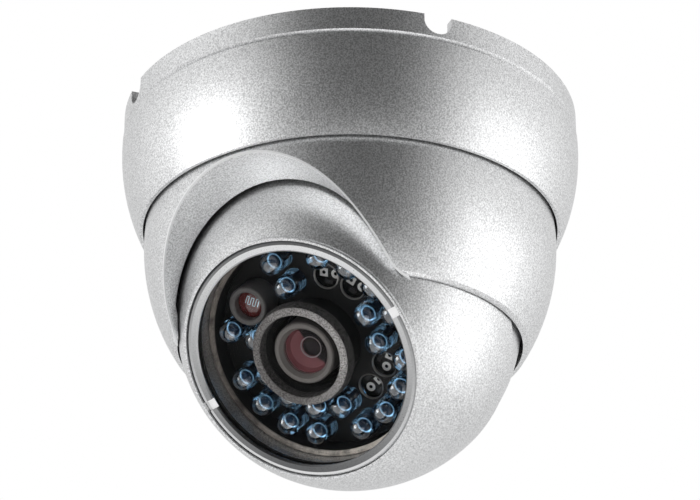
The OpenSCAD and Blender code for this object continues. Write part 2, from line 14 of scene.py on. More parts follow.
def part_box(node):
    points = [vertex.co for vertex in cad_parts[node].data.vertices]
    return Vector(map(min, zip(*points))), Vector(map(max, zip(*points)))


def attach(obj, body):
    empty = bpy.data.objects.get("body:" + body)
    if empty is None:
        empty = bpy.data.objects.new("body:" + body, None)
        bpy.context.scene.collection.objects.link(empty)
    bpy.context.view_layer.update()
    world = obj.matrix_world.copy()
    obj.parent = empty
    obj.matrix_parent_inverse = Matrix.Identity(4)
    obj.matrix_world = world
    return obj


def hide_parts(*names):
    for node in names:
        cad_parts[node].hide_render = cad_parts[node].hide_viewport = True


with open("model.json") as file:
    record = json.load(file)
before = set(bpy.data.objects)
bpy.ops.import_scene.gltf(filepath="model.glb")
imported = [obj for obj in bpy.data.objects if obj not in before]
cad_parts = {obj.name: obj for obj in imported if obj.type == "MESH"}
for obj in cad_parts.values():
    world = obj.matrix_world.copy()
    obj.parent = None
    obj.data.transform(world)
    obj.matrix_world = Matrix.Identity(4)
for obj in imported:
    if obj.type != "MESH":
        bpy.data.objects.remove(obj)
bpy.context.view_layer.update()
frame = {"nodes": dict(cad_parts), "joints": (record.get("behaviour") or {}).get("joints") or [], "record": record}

nodes = frame["nodes"]

# %% [markdown]
# The eyeball looks down and forward, so most of its pieces are turned round a slanted line.
# The joints say where that line is: it starts at the tilt pivot and runs along the axis on
# which the lens is focused. A helper turns "right, up, out" in millimetres into a place.

# %% The slanted frame of the eyeball
MM = 0.001
joint = {j["name"]: j for j in frame["joints"]}
pivot = Vector(joint["tilt"]["pos_m"])
out = Vector(joint["focus"]["axis"]).normalized()
right = Vector((1.0, 0.0, 0.0))
up = out.cross(right)
lens_x = (Vector(joint["focus"]["pos_m"]) - pivot).dot(right) / MM
to_row = Matrix((right, up, out)).transposed().to_4x4()
to_row.translation = pivot
to_face = to_row.inverted()


def in_face(node):
    """The corners of a part in the eyeball's own directions, in millimetres."""
    return [(to_face @ v.co) / MM for v in nodes[node].data.vertices]


def span(node, axis=2):
    """Lowest and highest value of a part along one of the eyeball's directions."""
    values = [p[axis] for p in in_face(node)]
    return min(values), max(values)


mask_front = span("led_mask")[1]
board_front = span("led_board")[1]
print("the mask is %.2f mm out and the board %.2f mm" % (mask_front, board_front))
print("the lens stands %.1f mm beside the middle" % lens_x)

# %% [markdown]
# Nodes in a material are easier to read as sums. A small class wraps one socket, so that
# `1 - mask` or `grain * 0.2` adds the Math node that it needs. Colours go through Mix nodes,
# because a Math node would turn them grey. Every other node comes from one method.

# %% A socket that can be added and multiplied
class Wire:
    def __init__(self, tree, socket):
        self.tree, self.socket = tree, socket

    def join(self, operation, first, second=0.0):
        return add_node(self.tree, "ShaderNodeMath", {"operation": operation},
                        {0: first, 1: second})

    def __add__(self, other): return self.join("ADD", self, other)
    def __radd__(self, other): return self.join("ADD", other, self)
    def __sub__(self, other): return self.join("SUBTRACT", self, other)
    def __rsub__(self, other): return self.join("SUBTRACT", other, self)
    def __mul__(self, other): return self.join("MULTIPLY", self, other)
    def __rmul__(self, other): return self.join("MULTIPLY", other, self)
    def __abs__(self): return self.join("ABSOLUTE", self)

    def root(self): return self.join("SQRT", self)
    def sine(self): return self.join("SINE", self)
    def least(self, other): return self.join("MINIMUM", self, other)
    def most(self, other): return self.join("MAXIMUM", self, other)

    def above(self, edge, soft):
        """0 below the edge and 1 above it, with a soft step between."""
        return add_node(self.tree, "ShaderNodeMapRange", {"interpolation_type": "SMOOTHSTEP"},
                        {"Value": self, "From Min": edge - soft, "From Max": edge + soft})

    def clamp(self, low, high):
        return self.least(high).most(low)


def feed(tree, socket, value):
    """Links a wire to a socket, or sets the socket's own value."""
    if isinstance(value, Wire):
        tree.links.new(value.socket, socket)
    elif hasattr(socket.default_value, "__len__") and len(socket.default_value) == 4:
        socket.default_value = (*value[:3], 1.0)
    else:
        socket.default_value = value


def add_node(tree, kind, settings=None, inputs=None, output=0):
    """Any node: its settings first, then the values or wires of its sockets."""
    node = tree.nodes.new(kind)
    for name, value in (settings or {}).items():
        setattr(node, name, value)
    for name, value in (inputs or {}).items():
        feed(tree, node.inputs[name], value)
    return Wire(tree, node.outputs[output])


print("socket maths ready")

# %% [markdown]
# A finish is one material with one Principled shader. Its plain values are typed on the
# shader itself, and only what changes over the surface is wired in. Two more helpers give a
# point on the part, and how far out and how far from the lens axis that point lies.

# %% A finish and its places
class Finish:
    def __init__(self, name):
        self.material = bpy.data.materials.new(name)
        self.material.use_nodes = True
        self.tree = self.material.node_tree
        self.shader = self.tree.nodes["Principled BSDF"]

    def node(self, kind, settings=None, inputs=None, output=0):
        return add_node(self.tree, kind, settings, inputs, output)

    def point(self):
        return self.node("ShaderNodeTexCoord", output="Object")

    def noise(self, size_mm, detail=2.0, rough=0.5):
        """Cloudy noise from 0 to 1, with lumps of about this size."""
        return self.node("ShaderNodeTexNoise", {},
                         {"Vector": self.point(), "Scale": 1 / (size_mm * MM),
                          "Detail": detail, "Roughness": rough})

    def across(self, direction, start=None):
        """Millimetres along a direction, from a start point."""
        start = pivot if start is None else start
        offset = self.node("ShaderNodeVectorMath", {"operation": "SUBTRACT"},
                           {0: self.point(), 1: tuple(start)})
        return self.node("ShaderNodeVectorMath", {"operation": "DOT_PRODUCT"},
                         {0: offset, 1: tuple(direction)}, "Value") * (1 / MM)

    def from_axis(self, x=0.0, y=0.0):
        """Millimetres from a line that runs out of the eyeball at x, y."""
        sideways, upwards = self.across(right) - x, self.across(up) - y
        return (sideways * sideways + upwards * upwards).root()

    def blend(self, factor, first, second):
        """A mix of two colours. The Mix node keeps its colours on sockets 6 and 7."""
        return self.node("ShaderNodeMix", {"data_type": "RGBA"},
                         {0: factor, 6: first, 7: second}, 2)

    def bump(self, height, depth_mm, strength=1.0):
        return self.node("ShaderNodeBump", {}, {"Height": height, "Distance": depth_mm * MM,
                                               "Strength": strength})

    def set(self, **sockets):
        """Sets or wires the shader's sockets: base_color, roughness and so on."""
        for name, value in sockets.items():
            label = name.replace("_", " ").title().replace("Ior", "IOR")
            feed(self.tree, self.shader.inputs[label], value)
        return self


finishes = {}
print("finish helper ready")

# %% [markdown]
# The housing is cast metal with a silver paint that holds fine aluminium flakes. Up close it
# sparkles: each flake lies at its own angle. Two fine noises do this, one that lightens and
# darkens the paint from grain to grain, and one that tips the surface a little.

# %% Silver flake paint
def silver_paint(name, shade, rough):
    paint = Finish(name)
    flakes = ((paint.noise(0.30, 1.0, 0.6) - 0.5) * 3.4 + 0.5).clamp(0.0, 1.0)
    cloud = paint.noise(9.0, 3.0)
    colour = paint.blend(flakes, [c * 0.70 for c in shade], [min(1.0, c * 1.22) for c in shade])
    paint.set(base_color=colour, metallic=0.88,
              roughness=(cloud - 0.5) * 0.05 + flakes * 0.06 + rough,
              normal=paint.bump(paint.noise(0.34, 1.0, 0.7), 0.05, 0.55),
              coat_weight=0.12, coat_roughness=0.3)
    return paint.material


finishes["silver_paint"] = silver_paint("silver_flake_paint", (0.74, 0.745, 0.75), 0.34)
print("paint:", finishes["silver_paint"].name)

# %% [markdown]
# The ring that holds the window was turned on a lathe, so it carries fine rings round the
# lens axis. The distance from that axis goes through a sine, which gives the tool marks. Its
# colour carries painted light and shade: the inner part is painted light at the top and dark
# at the bottom, and the outer lip the other way round. The floors of its two key slots are bare and bright.

# %% Turned aluminium for the window ring
turned = Finish("turned_aluminium")
ring_front = span("window_ring")[1]
RING_R = max((p[0] ** 2 + p[1] ** 2) ** 0.5 for p in in_face("window_ring"))
SLOT_TURN, SLOT_DEPTH, HALF_SLOT, LIP_W = radians(10), 0.45, 1.0, 0.85
sideways, upwards = turned.across(right), turned.across(up)
marks = (turned.from_axis() * 14.0).sine()
grain = turned.noise(0.22, 2.0, 0.6)
# Painted light and shade: the inner face is painted light at the top and dark at the bottom, and the outer lip the
# other way round.
painted_light_slope = ((sideways * 0.35 + upwards * 0.94) * (0.5 / RING_R) + 0.5).clamp(0.0, 1.0)
lip = turned.from_axis().above(RING_R - LIP_W, 0.06)
painted_light_tone = painted_light_slope + lip * (1 - painted_light_slope * 2)
off_slot = abs(upwards * cos(SLOT_TURN) - sideways * sin(SLOT_TURN)).above(HALF_SLOT, 0.04)
slot_floor = (1 - off_slot) * (1 - turned.across(out).above(ring_front - SLOT_DEPTH, 0.05))
metal = turned.blend(painted_light_tone, turned.blend(grain, (0.07, 0.072, 0.075), (0.17, 0.172, 0.175)),
                     turned.blend(grain, (0.70, 0.705, 0.71), (0.94, 0.945, 0.95)))
turned.set(base_color=turned.blend(slot_floor, metal, (0.97, 0.97, 0.97)), metallic=0.92,
           roughness=grain * 0.10 + 0.24, normal=turned.bump(marks, 0.012, 0.5))
finishes["bright_ring"] = turned.material
print("ring:", turned.material.name)

# %% [markdown]
# Rubber, nylon, steel and brass are mostly hidden, but they show when the turret turns or
# when the camera is taken off the ceiling. One recipe covers them: a base colour with a
# little cloud in it, a roughness that varies, and a fine bump.

# %% Plain finishes
def plain(name, shade, rough, metal=0.0, grain_mm=0.6, depth_mm=0.01, vary=0.25, **more):
    finish = Finish(name)
    cloud = finish.noise(grain_mm, 3.0, 0.6)
    colour = finish.blend(cloud, [c * (1 - vary) for c in shade],
                          [min(1.0, c * (1 + vary)) for c in shade])
    finish.set(base_color=colour, metallic=metal, roughness=cloud * 0.14 + (rough - 0.07),
               normal=finish.bump(cloud, depth_mm, 0.4), **more)
    return finish.material


finishes["black_rubber"] = plain("black_rubber", (0.022, 0.022, 0.023), 0.72)
finishes["dark_steel"] = plain("blackened_steel", (0.05, 0.05, 0.052), 0.4, 0.8, 0.4)
finishes["white_nylon"] = plain("white_nylon", (0.78, 0.77, 0.73), 0.45, 0.0, 2.0, 0.005, 0.05)
finishes["steel"] = plain("zinc_steel", (0.56, 0.56, 0.55), 0.3, 0.95, 0.5)
finishes["brass"] = plain("turned_brass", (0.72, 0.53, 0.25), 0.28, 0.95, 0.5)
finishes["black_plastic"] = plain("black_plastic", (0.0045, 0.0045, 0.0048), 0.5, 0.0, 0.3, 0.012,
                                  specular_ior_level=0.25)
finishes["circuit_board"] = plain("solder_mask", (0.006, 0.007, 0.007), 0.4, 0.0, 1.2, 0.01,
                                  specular_ior_level=0.3)
finishes["solder_pads"] = plain("tinned_pads", (0.94, 0.94, 0.92), 0.35, 0.1, 0.3, 0.01, 0.06)
finishes["chip_parts"] = plain("chip_plastic", (0.035, 0.035, 0.037), 0.45, 0.0, 0.2)
finishes["grey_plastic"] = plain("sensor_tube_grey", (0.105, 0.100, 0.098), 0.5, 0.0, 0.2, 0.02)
print("plain finishes:", len(finishes))

# %% [markdown]
# Behind the window the black wall has a top edge that is worn to brown, because the window
# gasket works against it. The height along the view gives a mask for that edge alone, and a
# coarse noise breaks it into worn and dark stretches. The brown also carries painted light:
# it is lighter towards the lower right and darker towards the upper left.

# %% Worn edge of the wall behind the window
liner_front = span("face_liner")[1]
worn = Finish("worn_black_wall_painted_light")
edge = worn.across(out).above(liner_front - 0.6, 0.25)
patches = worn.noise(3.2, 4.0, 0.65).above(0.44, 0.14)
fine = worn.noise(0.35, 3.0, 0.7)
# Painted light: the brown edge is lighter towards the lower right and darker towards the upper left.
painted_light_lower_right = (worn.across(right) * 0.03 - worn.across(up) * 0.05 + 0.15).clamp(0.0, 1.0)
brown = worn.blend(painted_light_lower_right, worn.blend(fine, (0.10, 0.09, 0.08), (0.34, 0.30, 0.27)),
                   worn.blend(fine, (0.50, 0.44, 0.38), (1.0, 0.94, 0.86)))
wall = worn.blend(fine, (0.004, 0.004, 0.0045), (0.016, 0.015, 0.015))
worn.set(base_color=worn.blend(edge * (patches * 0.6 + 0.4), wall, brown), roughness=0.6,
         specular_ior_level=0.25,
         normal=worn.bump(fine, 0.03, 0.5))
finishes["worn_wall_painted_light"] = worn.material
print("worn edge at %.2f mm" % liner_front)

# %% [markdown]
# The rubber shade round the lens keeps stray light from the lights out of it. Its front ring
# is a grainy grey-brown with painted light that makes it lighter towards the right, and its
# inside is darker. The same height mask tells them apart.

# %% Grainy rubber of the lens shade
shade_front = span("lens_shade")[1]
FRONT_BAND, FLARE_H = 0.30, 2.8
shade = Finish("grainy_shade_rubber")
speckle = shade.noise(0.28, 2.0, 0.7).above(0.5, 0.10)
front_face = shade.across(out).above(shade_front - FRONT_BAND, 0.08)
flare_side = shade.across(out).above(shade_front - FLARE_H, 0.1)
# Painted light: the front ring is painted lighter towards the right.
lit_side = (shade.across(right) * 0.065 + shade.across(up) * 0.01 + 0.35).clamp(0.0, 1.0)
pale = shade.blend(speckle, (0.075, 0.070, 0.067), (0.24, 0.23, 0.225))
pale = shade.blend(lit_side, pale, shade.blend(speckle, (0.24, 0.23, 0.225), (0.62, 0.60, 0.59)))
dark = shade.blend(speckle, (0.010, 0.010, 0.010), (0.10, 0.096, 0.094))
black = shade.blend(speckle, (0.002, 0.002, 0.002), (0.008, 0.0077, 0.0076))
shade.set(base_color=shade.blend(front_face, shade.blend(flare_side, black, dark), pale),
          roughness=0.68, specular_ior_level=0.25, normal=shade.bump(speckle, 0.03, 0.5))
finishes["shade_rubber"] = shade.material
finishes["lens_metal"] = plain("black_lens_metal", (0.14, 0.13, 0.122), 0.5, 0.1, 0.25, 0.015)
print("shade front at %.2f mm" % shade_front)

# %% [markdown]
# Glass comes in three kinds here. The window is thin and clear, so it is a mirror that is
# nearly see-through face on and less so at a slant, and it doesn't darken what lies behind.
# The lens is bloomed, so it hardly mirrors at all: a low index stands for that. The filter
# over the sensor is a pale blue plate.

# %% Window, lens and filter glass
clear = Finish("clear_window")
smear = clear.noise(14.0, 2.0)
facing = clear.node("ShaderNodeFresnel", {}, {"IOR": 1.45})
from_outside = 1 - clear.node("ShaderNodeNewGeometry", output="Backfacing")
clear.set(base_color=clear.blend(smear, (0.96, 0.97, 0.98), (1.0, 1.0, 1.0)), metallic=1.0,
          roughness=smear * 0.03 + 0.02, alpha=((facing - 0.035) * 0.9 * from_outside).clamp(0.002, 1.0))
finishes["clear_window"] = clear.material

coated = Finish("coated_lens_glass")
bloom = coated.noise(2.5, 1.0)
coated.set(base_color=coated.blend(bloom, (0.90, 0.86, 0.87), (0.98, 0.95, 0.96)),
           transmission_weight=1.0, ior=1.12, roughness=bloom * 0.02 + 0.01)
finishes["lens_glass"] = coated.material

tinted = Finish("filter_glass")
tinted.set(base_color=tinted.blend(tinted.noise(3.0), (0.45, 0.72, 0.85), (0.6, 0.85, 0.95)),
           transmission_weight=1.0, ior=1.5, roughness=0.03)
finishes["filter_glass"] = tinted.material
print("glass finishes ready")

# %% [markdown]
# The lights are cast in clear resin with a blue tint. Light bends through the round dome, so
# the dish and wires inside look broken up. Real glass shading does that without tricks.

# %% Blue resin and the red sensor
resin = Finish("blue_resin")
streak = resin.noise(1.1, 2.0)
resin.set(base_color=resin.blend(streak, (0.16, 0.42, 0.74), (0.42, 0.72, 1.0)),
          transmission_weight=1.0, ior=1.52, roughness=streak * 0.02 + 0.01,
          coat_weight=1.0, coat_ior=2.1, coat_roughness=0.08)
finishes["led_resin"] = resin.material

cell = Finish("red_sensor_cell")
blotch = cell.noise(0.9, 2.0)
cell.set(base_color=cell.blend(blotch, (0.055, 0.010, 0.010), (0.17, 0.034, 0.032)),
         roughness=blotch * 0.1 + 0.12, coat_weight=1.0, coat_roughness=0.04)
finishes["sensor_resin"] = cell.material
print("resin finishes ready")

# %% [markdown]
# Each measured part now takes the finish of its slot in the record. The wall behind the
# window is black plastic in the record, with its worn edge as an exception.

# %% Dress the measured parts
own_finish = {"face_liner": "worn_wall_painted_light"}
for part in frame["record"]["subparts"]:
    name = part["node"]
    finish = finishes[own_finish.get(name, part["material_slot"])]
    mesh = nodes[name].data
    if not mesh.materials:
        mesh.materials.append(finish)
    for place in range(len(mesh.materials)):
        mesh.materials[place] = finish
print("dressed", len(nodes), "parts")

# %% [markdown]
# Added pieces are turned or swept from short outlines. A turned piece is a profile of
# distance and height, spun round a line. Sharp edges stay sharp where the outline bends by
# more than thirty degrees, and the rest is shaded smooth.

# %% Helpers that make meshes
def finish_mesh(name, mesh_data, body, finish, place=to_row):
    mesh = bpy.data.meshes.new(name)
    bmesh.ops.recalc_face_normals(mesh_data, faces=mesh_data.faces)
    mesh_data.to_mesh(mesh)
    mesh_data.free()
    mesh.transform(Matrix.Scale(MM, 4))
    mesh.transform(place)
    mesh.shade_smooth()
    mesh.set_sharp_from_angle(angle=radians(30))
    mesh.materials.append(finish)
    piece = bpy.data.objects.new(name, mesh)
    bpy.context.scene.collection.objects.link(piece)
    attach(piece, body)
    return piece


def spin(shape, profile, x=0.0, y=0.0, steps=48, closed=True):
    """Adds a profile of (distance, height) spun round a line at x, y."""
    loops = []
    for k in range(steps):
        turn = 2 * pi * k / steps
        loops.append([shape.verts.new((x + r * cos(turn), y + r * sin(turn), z)) if r > 0 else None
                      for r, z in profile])
    centre = [shape.verts.new((x, y, z)) if r == 0 else None for r, z in profile]
    pairs = list(zip(range(len(profile)), range(1, len(profile))))
    if closed and profile[0][0] > 0 and profile[-1][0] > 0:
        pairs.append((len(profile) - 1, 0))
    for k in range(steps):
        here, there = loops[k], loops[(k + 1) % steps]
        for a, b in pairs:
            ring = [here[a] or centre[a], here[b] or centre[b], there[b] or centre[b],
                    there[a] or centre[a]]
            corners = list(dict.fromkeys(ring))
            if len(corners) > 2:
                shape.faces.new(corners)
    return shape


print("mesh helpers ready")

# %% [markdown]
# A 5 mm light is a resin bullet with a small metal dish inside, two flat legs that carry it,
# and a hair-thin wire to the crystal. The bullets are turned finer than the measured ones,
# because a bent view through glass shows every facet. Each stands exactly where its measured
# light stands: the highest corner of that part is the tip of its dome.

# %% The resin bullets
LED_COUNT = sum(name.startswith("led_") and name[4:].isdigit() for name in nodes)
led_r, flange_r, flange_t, ease = 2.4, 2.7, 1.0, 0.1
DOME_STEPS = 14


def led_place(number):
    corners = in_face("led_%02d" % number)
    tip = max(p[2] for p in corners)
    top = [p for p in corners if p[2] > tip - 0.3]
    x = (min(p[0] for p in top) + max(p[0] for p in top)) / 2
    y = (min(p[1] for p in top) + max(p[1] for p in top)) / 2
    return x, y, tip


places = {n: led_place(n) for n in range(1, LED_COUNT + 1)}
for number, (x, y, tip) in places.items():
    centre, flange_top = tip - led_r, board_front + flange_t
    profile = [(0.0, board_front), (flange_r - ease, board_front), (flange_r, board_front + ease),
               (flange_r, flange_top - ease), (flange_r - ease, flange_top),
               (led_r, flange_top), (led_r, centre)]
    slopes = [pi / 2 * k / DOME_STEPS for k in range(1, DOME_STEPS)]
    profile += [(led_r * cos(a), centre + led_r * sin(a)) for a in slopes] + [(0.0, tip)]
    bullet = finish_mesh("led_bullet_%02d" % number, spin(bmesh.new(), profile, x, y, 40),
                         "eyeball", finishes["led_resin"])
    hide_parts("led_%02d" % number)
print("bullets:", LED_COUNT, "lights")

# %% [markdown]
# The dish is a small cup, painted dark as shade, with a bright silvered rim and a crystal in
# it, standing on the wider leg. The other leg is a flat post beside it, painted dark like the
# cup. They turn with the light, so that no two look quite the same.

# %% Dishes and legs inside the lights
silvered = plain("silvered_rim", (0.93, 0.96, 1.0), 0.25, 0.7, 0.3, 0.005, 0.06)
# Painted shade: the cup and both legs are painted dark, and only the rim keeps the bright silvered colour.
cup_painted_shade = plain("cup_and_legs_painted_shade", (0.10, 0.13, 0.17), 0.35, 0.9, 0.3, 0.01)
dishes, rims, crystals = bmesh.new(), bmesh.new(), bmesh.new()


def slab(shape, x, y, turn, low, high, ease=0.08):
    """A small block with eased edges between two corners, turned round its own light."""
    size = [high[k] - low[k] for k in range(3)]
    middle = [(high[k] + low[k]) / 2 for k in range(3)]
    block = bmesh.new()
    bmesh.ops.create_cube(block, size=1.0, matrix=Matrix.Translation(middle)
                          @ Matrix.Diagonal((*size, 1)))
    bmesh.ops.bevel(block, geom=block.edges[:], offset=ease, segments=1, affect="EDGES")
    block.transform(Matrix.Translation((x, y, 0)) @ Matrix.Rotation(turn, 4, "Z"))
    carried = bpy.data.meshes.new("carried_block")
    block.to_mesh(carried)
    block.free()
    shape.from_mesh(carried)
    bpy.data.meshes.remove(carried)


TURN_STEP, RIM_DEPTH = radians(137.5), 3.3
for number, (x, y, tip) in places.items():
    turn = TURN_STEP * number
    rim = tip - RIM_DEPTH
    spin(dishes, [(0.0, rim - 0.65), (0.3, rim - 0.62), (0.72, rim - 0.02), (0.78, rim - 0.3),
                  (0.4, rim - 1.2), (0.0, rim - 1.25)], x, y, 24)
    spin(rims, [(0.74, rim), (0.84, rim + 0.03), (0.93, rim - 0.03), (0.84, rim - 0.12)], x, y, 24)
    slab(dishes, x, y, turn, (-0.5, -0.2, board_front + 0.2), (0.3, 0.2, rim - 1.1))
    slab(dishes, x, y, turn, (1.25, -0.2, board_front + 0.2), (1.6, 0.2, rim - 0.2))
    slab(rims, x, y, turn, (1.22, -0.22, rim - 0.22), (1.65, 0.22, rim - 0.02), 0.04)
    slab(crystals, x, y, turn, (-0.2, -0.2, rim - 0.66), (0.2, 0.2, rim - 0.4))
finish_mesh("led_dishes", dishes, "eyeball", cup_painted_shade)
finish_mesh("led_rims", rims, "eyeball", silvered)
finish_mesh("led_crystals", crystals, "eyeball", finishes["chip_parts"])
print("pieces inside the lights:", 3)

# %% [markdown]
# The light sensor is a red cell with a comb of pale track on it, under a clear crown. The
# track is one ribbon that runs to and fro over the crown. It follows the crown's own curve,
# so it never sinks in or floats.

# %% Track on the light sensor
tube = in_face("light_sensor_tube")
sensor = in_face("light_sensor")
sensor_x = (min(p[0] for p in tube) + max(p[0] for p in tube)) / 2
sensor_y = (min(p[1] for p in tube) + max(p[1] for p in tube)) / 2
crown_top = max(p[2] for p in sensor)
CROWN_R = 5.2


def crown_height(x, y):
    return crown_top - CROWN_R + (CROWN_R ** 2 - x * x - y * y) ** 0.5


def ribbon(shape, points, width, lift, x0, y0):
    """A raised ribbon along points that lie on the crown."""
    rows = []
    for k, (x, y) in enumerate(points):
        ahead = points[min(k + 1, len(points) - 1)]
        back = points[max(k - 1, 0)]
        along = Vector((ahead[0] - back[0], ahead[1] - back[1]))
        side = Vector((-along.y, along.x)).normalized() * (width / 2)
        edge = [(x + side.x, y + side.y), (x - side.x, y - side.y)]
        rows.append([shape.verts.new((x0 + u, y0 + v, crown_height(u, v) + rise))
                     for rise in (lift, -0.05) for u, v in edge])
    for first, second in zip(rows, rows[1:]):
        for a, b in ((0, 1), (1, 3), (3, 2), (2, 0)):
            shape.faces.new((first[a], first[b], second[b], second[a]))
    for end in (rows[0], rows[-1]):
        shape.faces.new((end[0], end[1], end[3], end[2]))


track = bmesh.new()
LANES, LANE_STEP, LANE_REACH, LANE_POINTS = 6, 0.52, 0.75, 6
TRACK_W, TRACK_T, TRACK_X, TRACK_Y, TRACK_TURN = 0.13, 0.03, 0.8, 0.5, radians(-36)
path_points = []
for lane in range(LANES):
    u = (lane - (LANES - 1) / 2) * LANE_STEP
    ends = (-LANE_REACH, LANE_REACH) if lane % 2 == 0 else (LANE_REACH, -LANE_REACH)
    path_points += [(u, ends[0] + (ends[1] - ends[0]) * k / LANE_POINTS)
                    for k in range(LANE_POINTS + 1)]
path_points = [(u * cos(TRACK_TURN) - v * sin(TRACK_TURN) + TRACK_X,
                u * sin(TRACK_TURN) + v * cos(TRACK_TURN) + TRACK_Y) for u, v in path_points]
ribbon(track, path_points, TRACK_W, TRACK_T, sensor_x, sensor_y)
foil = plain("sensor_track_foil", (0.62, 0.80, 0.92), 0.22, 0.5, 0.2, 0.005, 0.15)
finish_mesh("sensor_track", track, "eyeball", foil)
print("track:", len(path_points), "points")

# %% [markdown]
# The measured front element is a solid plug of glass. A real one is thinner, and behind it a
# funnel leads down to the small second element in a thin bright rim. The thin element stands
# in for the plug, inside the same room. The funnel carries a painted reflection: a mask across
# the lens paints the coating's red reflection on the left and lower side, and black on the other.

# %% Front element, funnel and second element of the lens
glass_back, glass_front = span("lens_front_element")
iris_front = span("lens_iris")[1]
funnel_finish = Finish("funnel_painted_red_reflection")
lens_axis = pivot + right * lens_x * MM
# Painted reflection: red on the left and lower side of the lens, black elsewhere.
painted_reflection_side = (0.0 - funnel_finish.across(right, lens_axis)).above(0.75, 0.15)
painted_reflection_low = (0.0 - funnel_finish.across(up) - funnel_finish.across(right, lens_axis) * 0.8).above(2.0, 0.3)
mottle = funnel_finish.noise(0.3, 2.0)
red = funnel_finish.blend(mottle, (0.10, 0.036, 0.040), (0.22, 0.085, 0.092))
funnel_finish.set(base_color=funnel_finish.blend(painted_reflection_side.most(painted_reflection_low * 0.9), (0.003, 0.003, 0.0035), red),
                  roughness=0.6, specular_ior_level=0.08)
glass_r = max(((p[0] - lens_x) ** 2 + p[1] ** 2) ** 0.5 for p in in_face("lens_front_element"))
CROWN, CROWN_STEPS = 16.0, 10
crown_low = glass_front - CROWN + (CROWN ** 2 - glass_r ** 2) ** 0.5


def crown(low, reach, radius):
    """Points of a round crown from the middle out to a reach, with its edge at a height."""
    top = low + radius - (radius ** 2 - reach ** 2) ** 0.5
    return [(reach * k / CROWN_STEPS,
             top - radius + (radius ** 2 - (reach * k / CROWN_STEPS) ** 2) ** 0.5)
            for k in range(CROWN_STEPS + 1)]


upper = crown(crown_low, glass_r - 0.03, CROWN)
lower_side = crown(crown_low - 0.5, glass_r - 0.03, CROWN)
shell = spin(bmesh.new(), upper + lower_side[::-1], lens_x, 0.0, 64, False)
element = finish_mesh("front_element", shell, "lens", finishes["lens_glass"])
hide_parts("lens_front_element")
well = iris_front + 0.06
funnel = spin(bmesh.new(), [(1.5, well), (2.05, well + 0.02), (2.3, well + 0.3), (4.1, glass_back + 0.4),
                            (4.6, crown_low - 0.55), (4.7, crown_low - 0.6), (4.7, glass_back + 0.05),
                            (4.1, glass_back + 0.05), (1.5, well - 0.04)], lens_x, 0.0, 64)
finish_mesh("lens_funnel", funnel, "lens", funnel_finish.material)
rim = spin(bmesh.new(), [(2.02, well + 0.1), (2.1, well + 0.34), (2.22, well + 0.36), (2.2, well + 0.1)],
           lens_x, 0.0, 64)
finish_mesh("second_element_rim", rim, "lens",
            plain("element_rim", (0.26, 0.255, 0.255), 0.35, 0.5, 0.3))
pupil = spin(bmesh.new(), crown(well + 0.06, 1.9, 3.2) + [(1.9, well + 0.02), (0.0, well + 0.02)],
             lens_x, 0.0, 48, False)
finish_mesh("second_element", pupil, "lens",
            plain("dark_second_element", (0.005, 0.004, 0.005), 0.14, 0.0, 0.8, 0.001,
                  specular_ior_level=0.1))
print("lens room from %.2f to %.2f mm" % (glass_back, glass_front))

# %% [markdown]
# Four places for lights are left empty, and the board shows through them. Their edges are
# turned over and catch the light, so each gets a thin eyelet.

# %% Eyelets in the empty places
EMPTY_AT = (40, 66, 295, 321)
inner_x, inner_y, inner_tip = places[LED_COUNT]
INNER_R = (inner_x ** 2 + inner_y ** 2) ** 0.5
eyelets = bmesh.new()
for turn in EMPTY_AT:
    spin(eyelets, [(2.52, mask_front - 0.6), (2.44, mask_front + 0.02), (2.56, mask_front + 0.12),
                   (2.72, mask_front + 0.02), (2.56, mask_front + 0.05), (2.54, mask_front - 0.6)],
         INNER_R * cos(radians(turn)), INNER_R * sin(radians(turn)), 40)
finish_mesh("empty_eyelets", eyelets, "eyeball",
            plain("eyelet_edge", (0.30, 0.29, 0.28), 0.3, 0.6, 0.4))
print("eyelets:", len(EMPTY_AT))

# %% [markdown]
# A bright line is painted along the edge of the arch as a painted highlight, where the real
# edge catches the light. The edge is where the arch's outline, pushed through the turret on a
# rising line, meets the round shell. Each point of the outline is walked along that line until it meets the shell.

# %% Painted highlight along the edge of the arch
shell_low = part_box("turret_shell")[0]
SHELL_R, RIM_OUT_R = 42.1, 35.6
rim_z = shell_low.z / MM
shell_z = rim_z + (SHELL_R ** 2 - RIM_OUT_R ** 2) ** 0.5
ARCH_R, ARCH_SINK, ARCH_SLOPE, ARCH_CORNER = 26.3, 1.7, radians(10.5), 1.8
FOOT_REACH = 10.0
foot = ARCH_SINK + (SHELL_R - RIM_OUT_R + FOOT_REACH) * (sin(ARCH_SLOPE) / cos(ARCH_SLOPE))
start = Vector((0.0, -SHELL_R, rim_z - ARCH_SINK))
rise = Vector((0.0, sin(ARCH_SLOPE), cos(ARCH_SLOPE)))
forward_line = Vector((0.0, -cos(ARCH_SLOPE), sin(ARCH_SLOPE)))
shell_centre = Vector((0.0, 0.0, shell_z))


def on_shell(u, v, radius):
    """Where the arch's outline point u, v meets a sphere about the shell's centre."""
    base = start + right * u + rise * v - shell_centre
    b = base.dot(forward_line)
    walk = -b + (b * b - base.dot(base) + radius * radius) ** 0.5
    return base + forward_line * walk + shell_centre


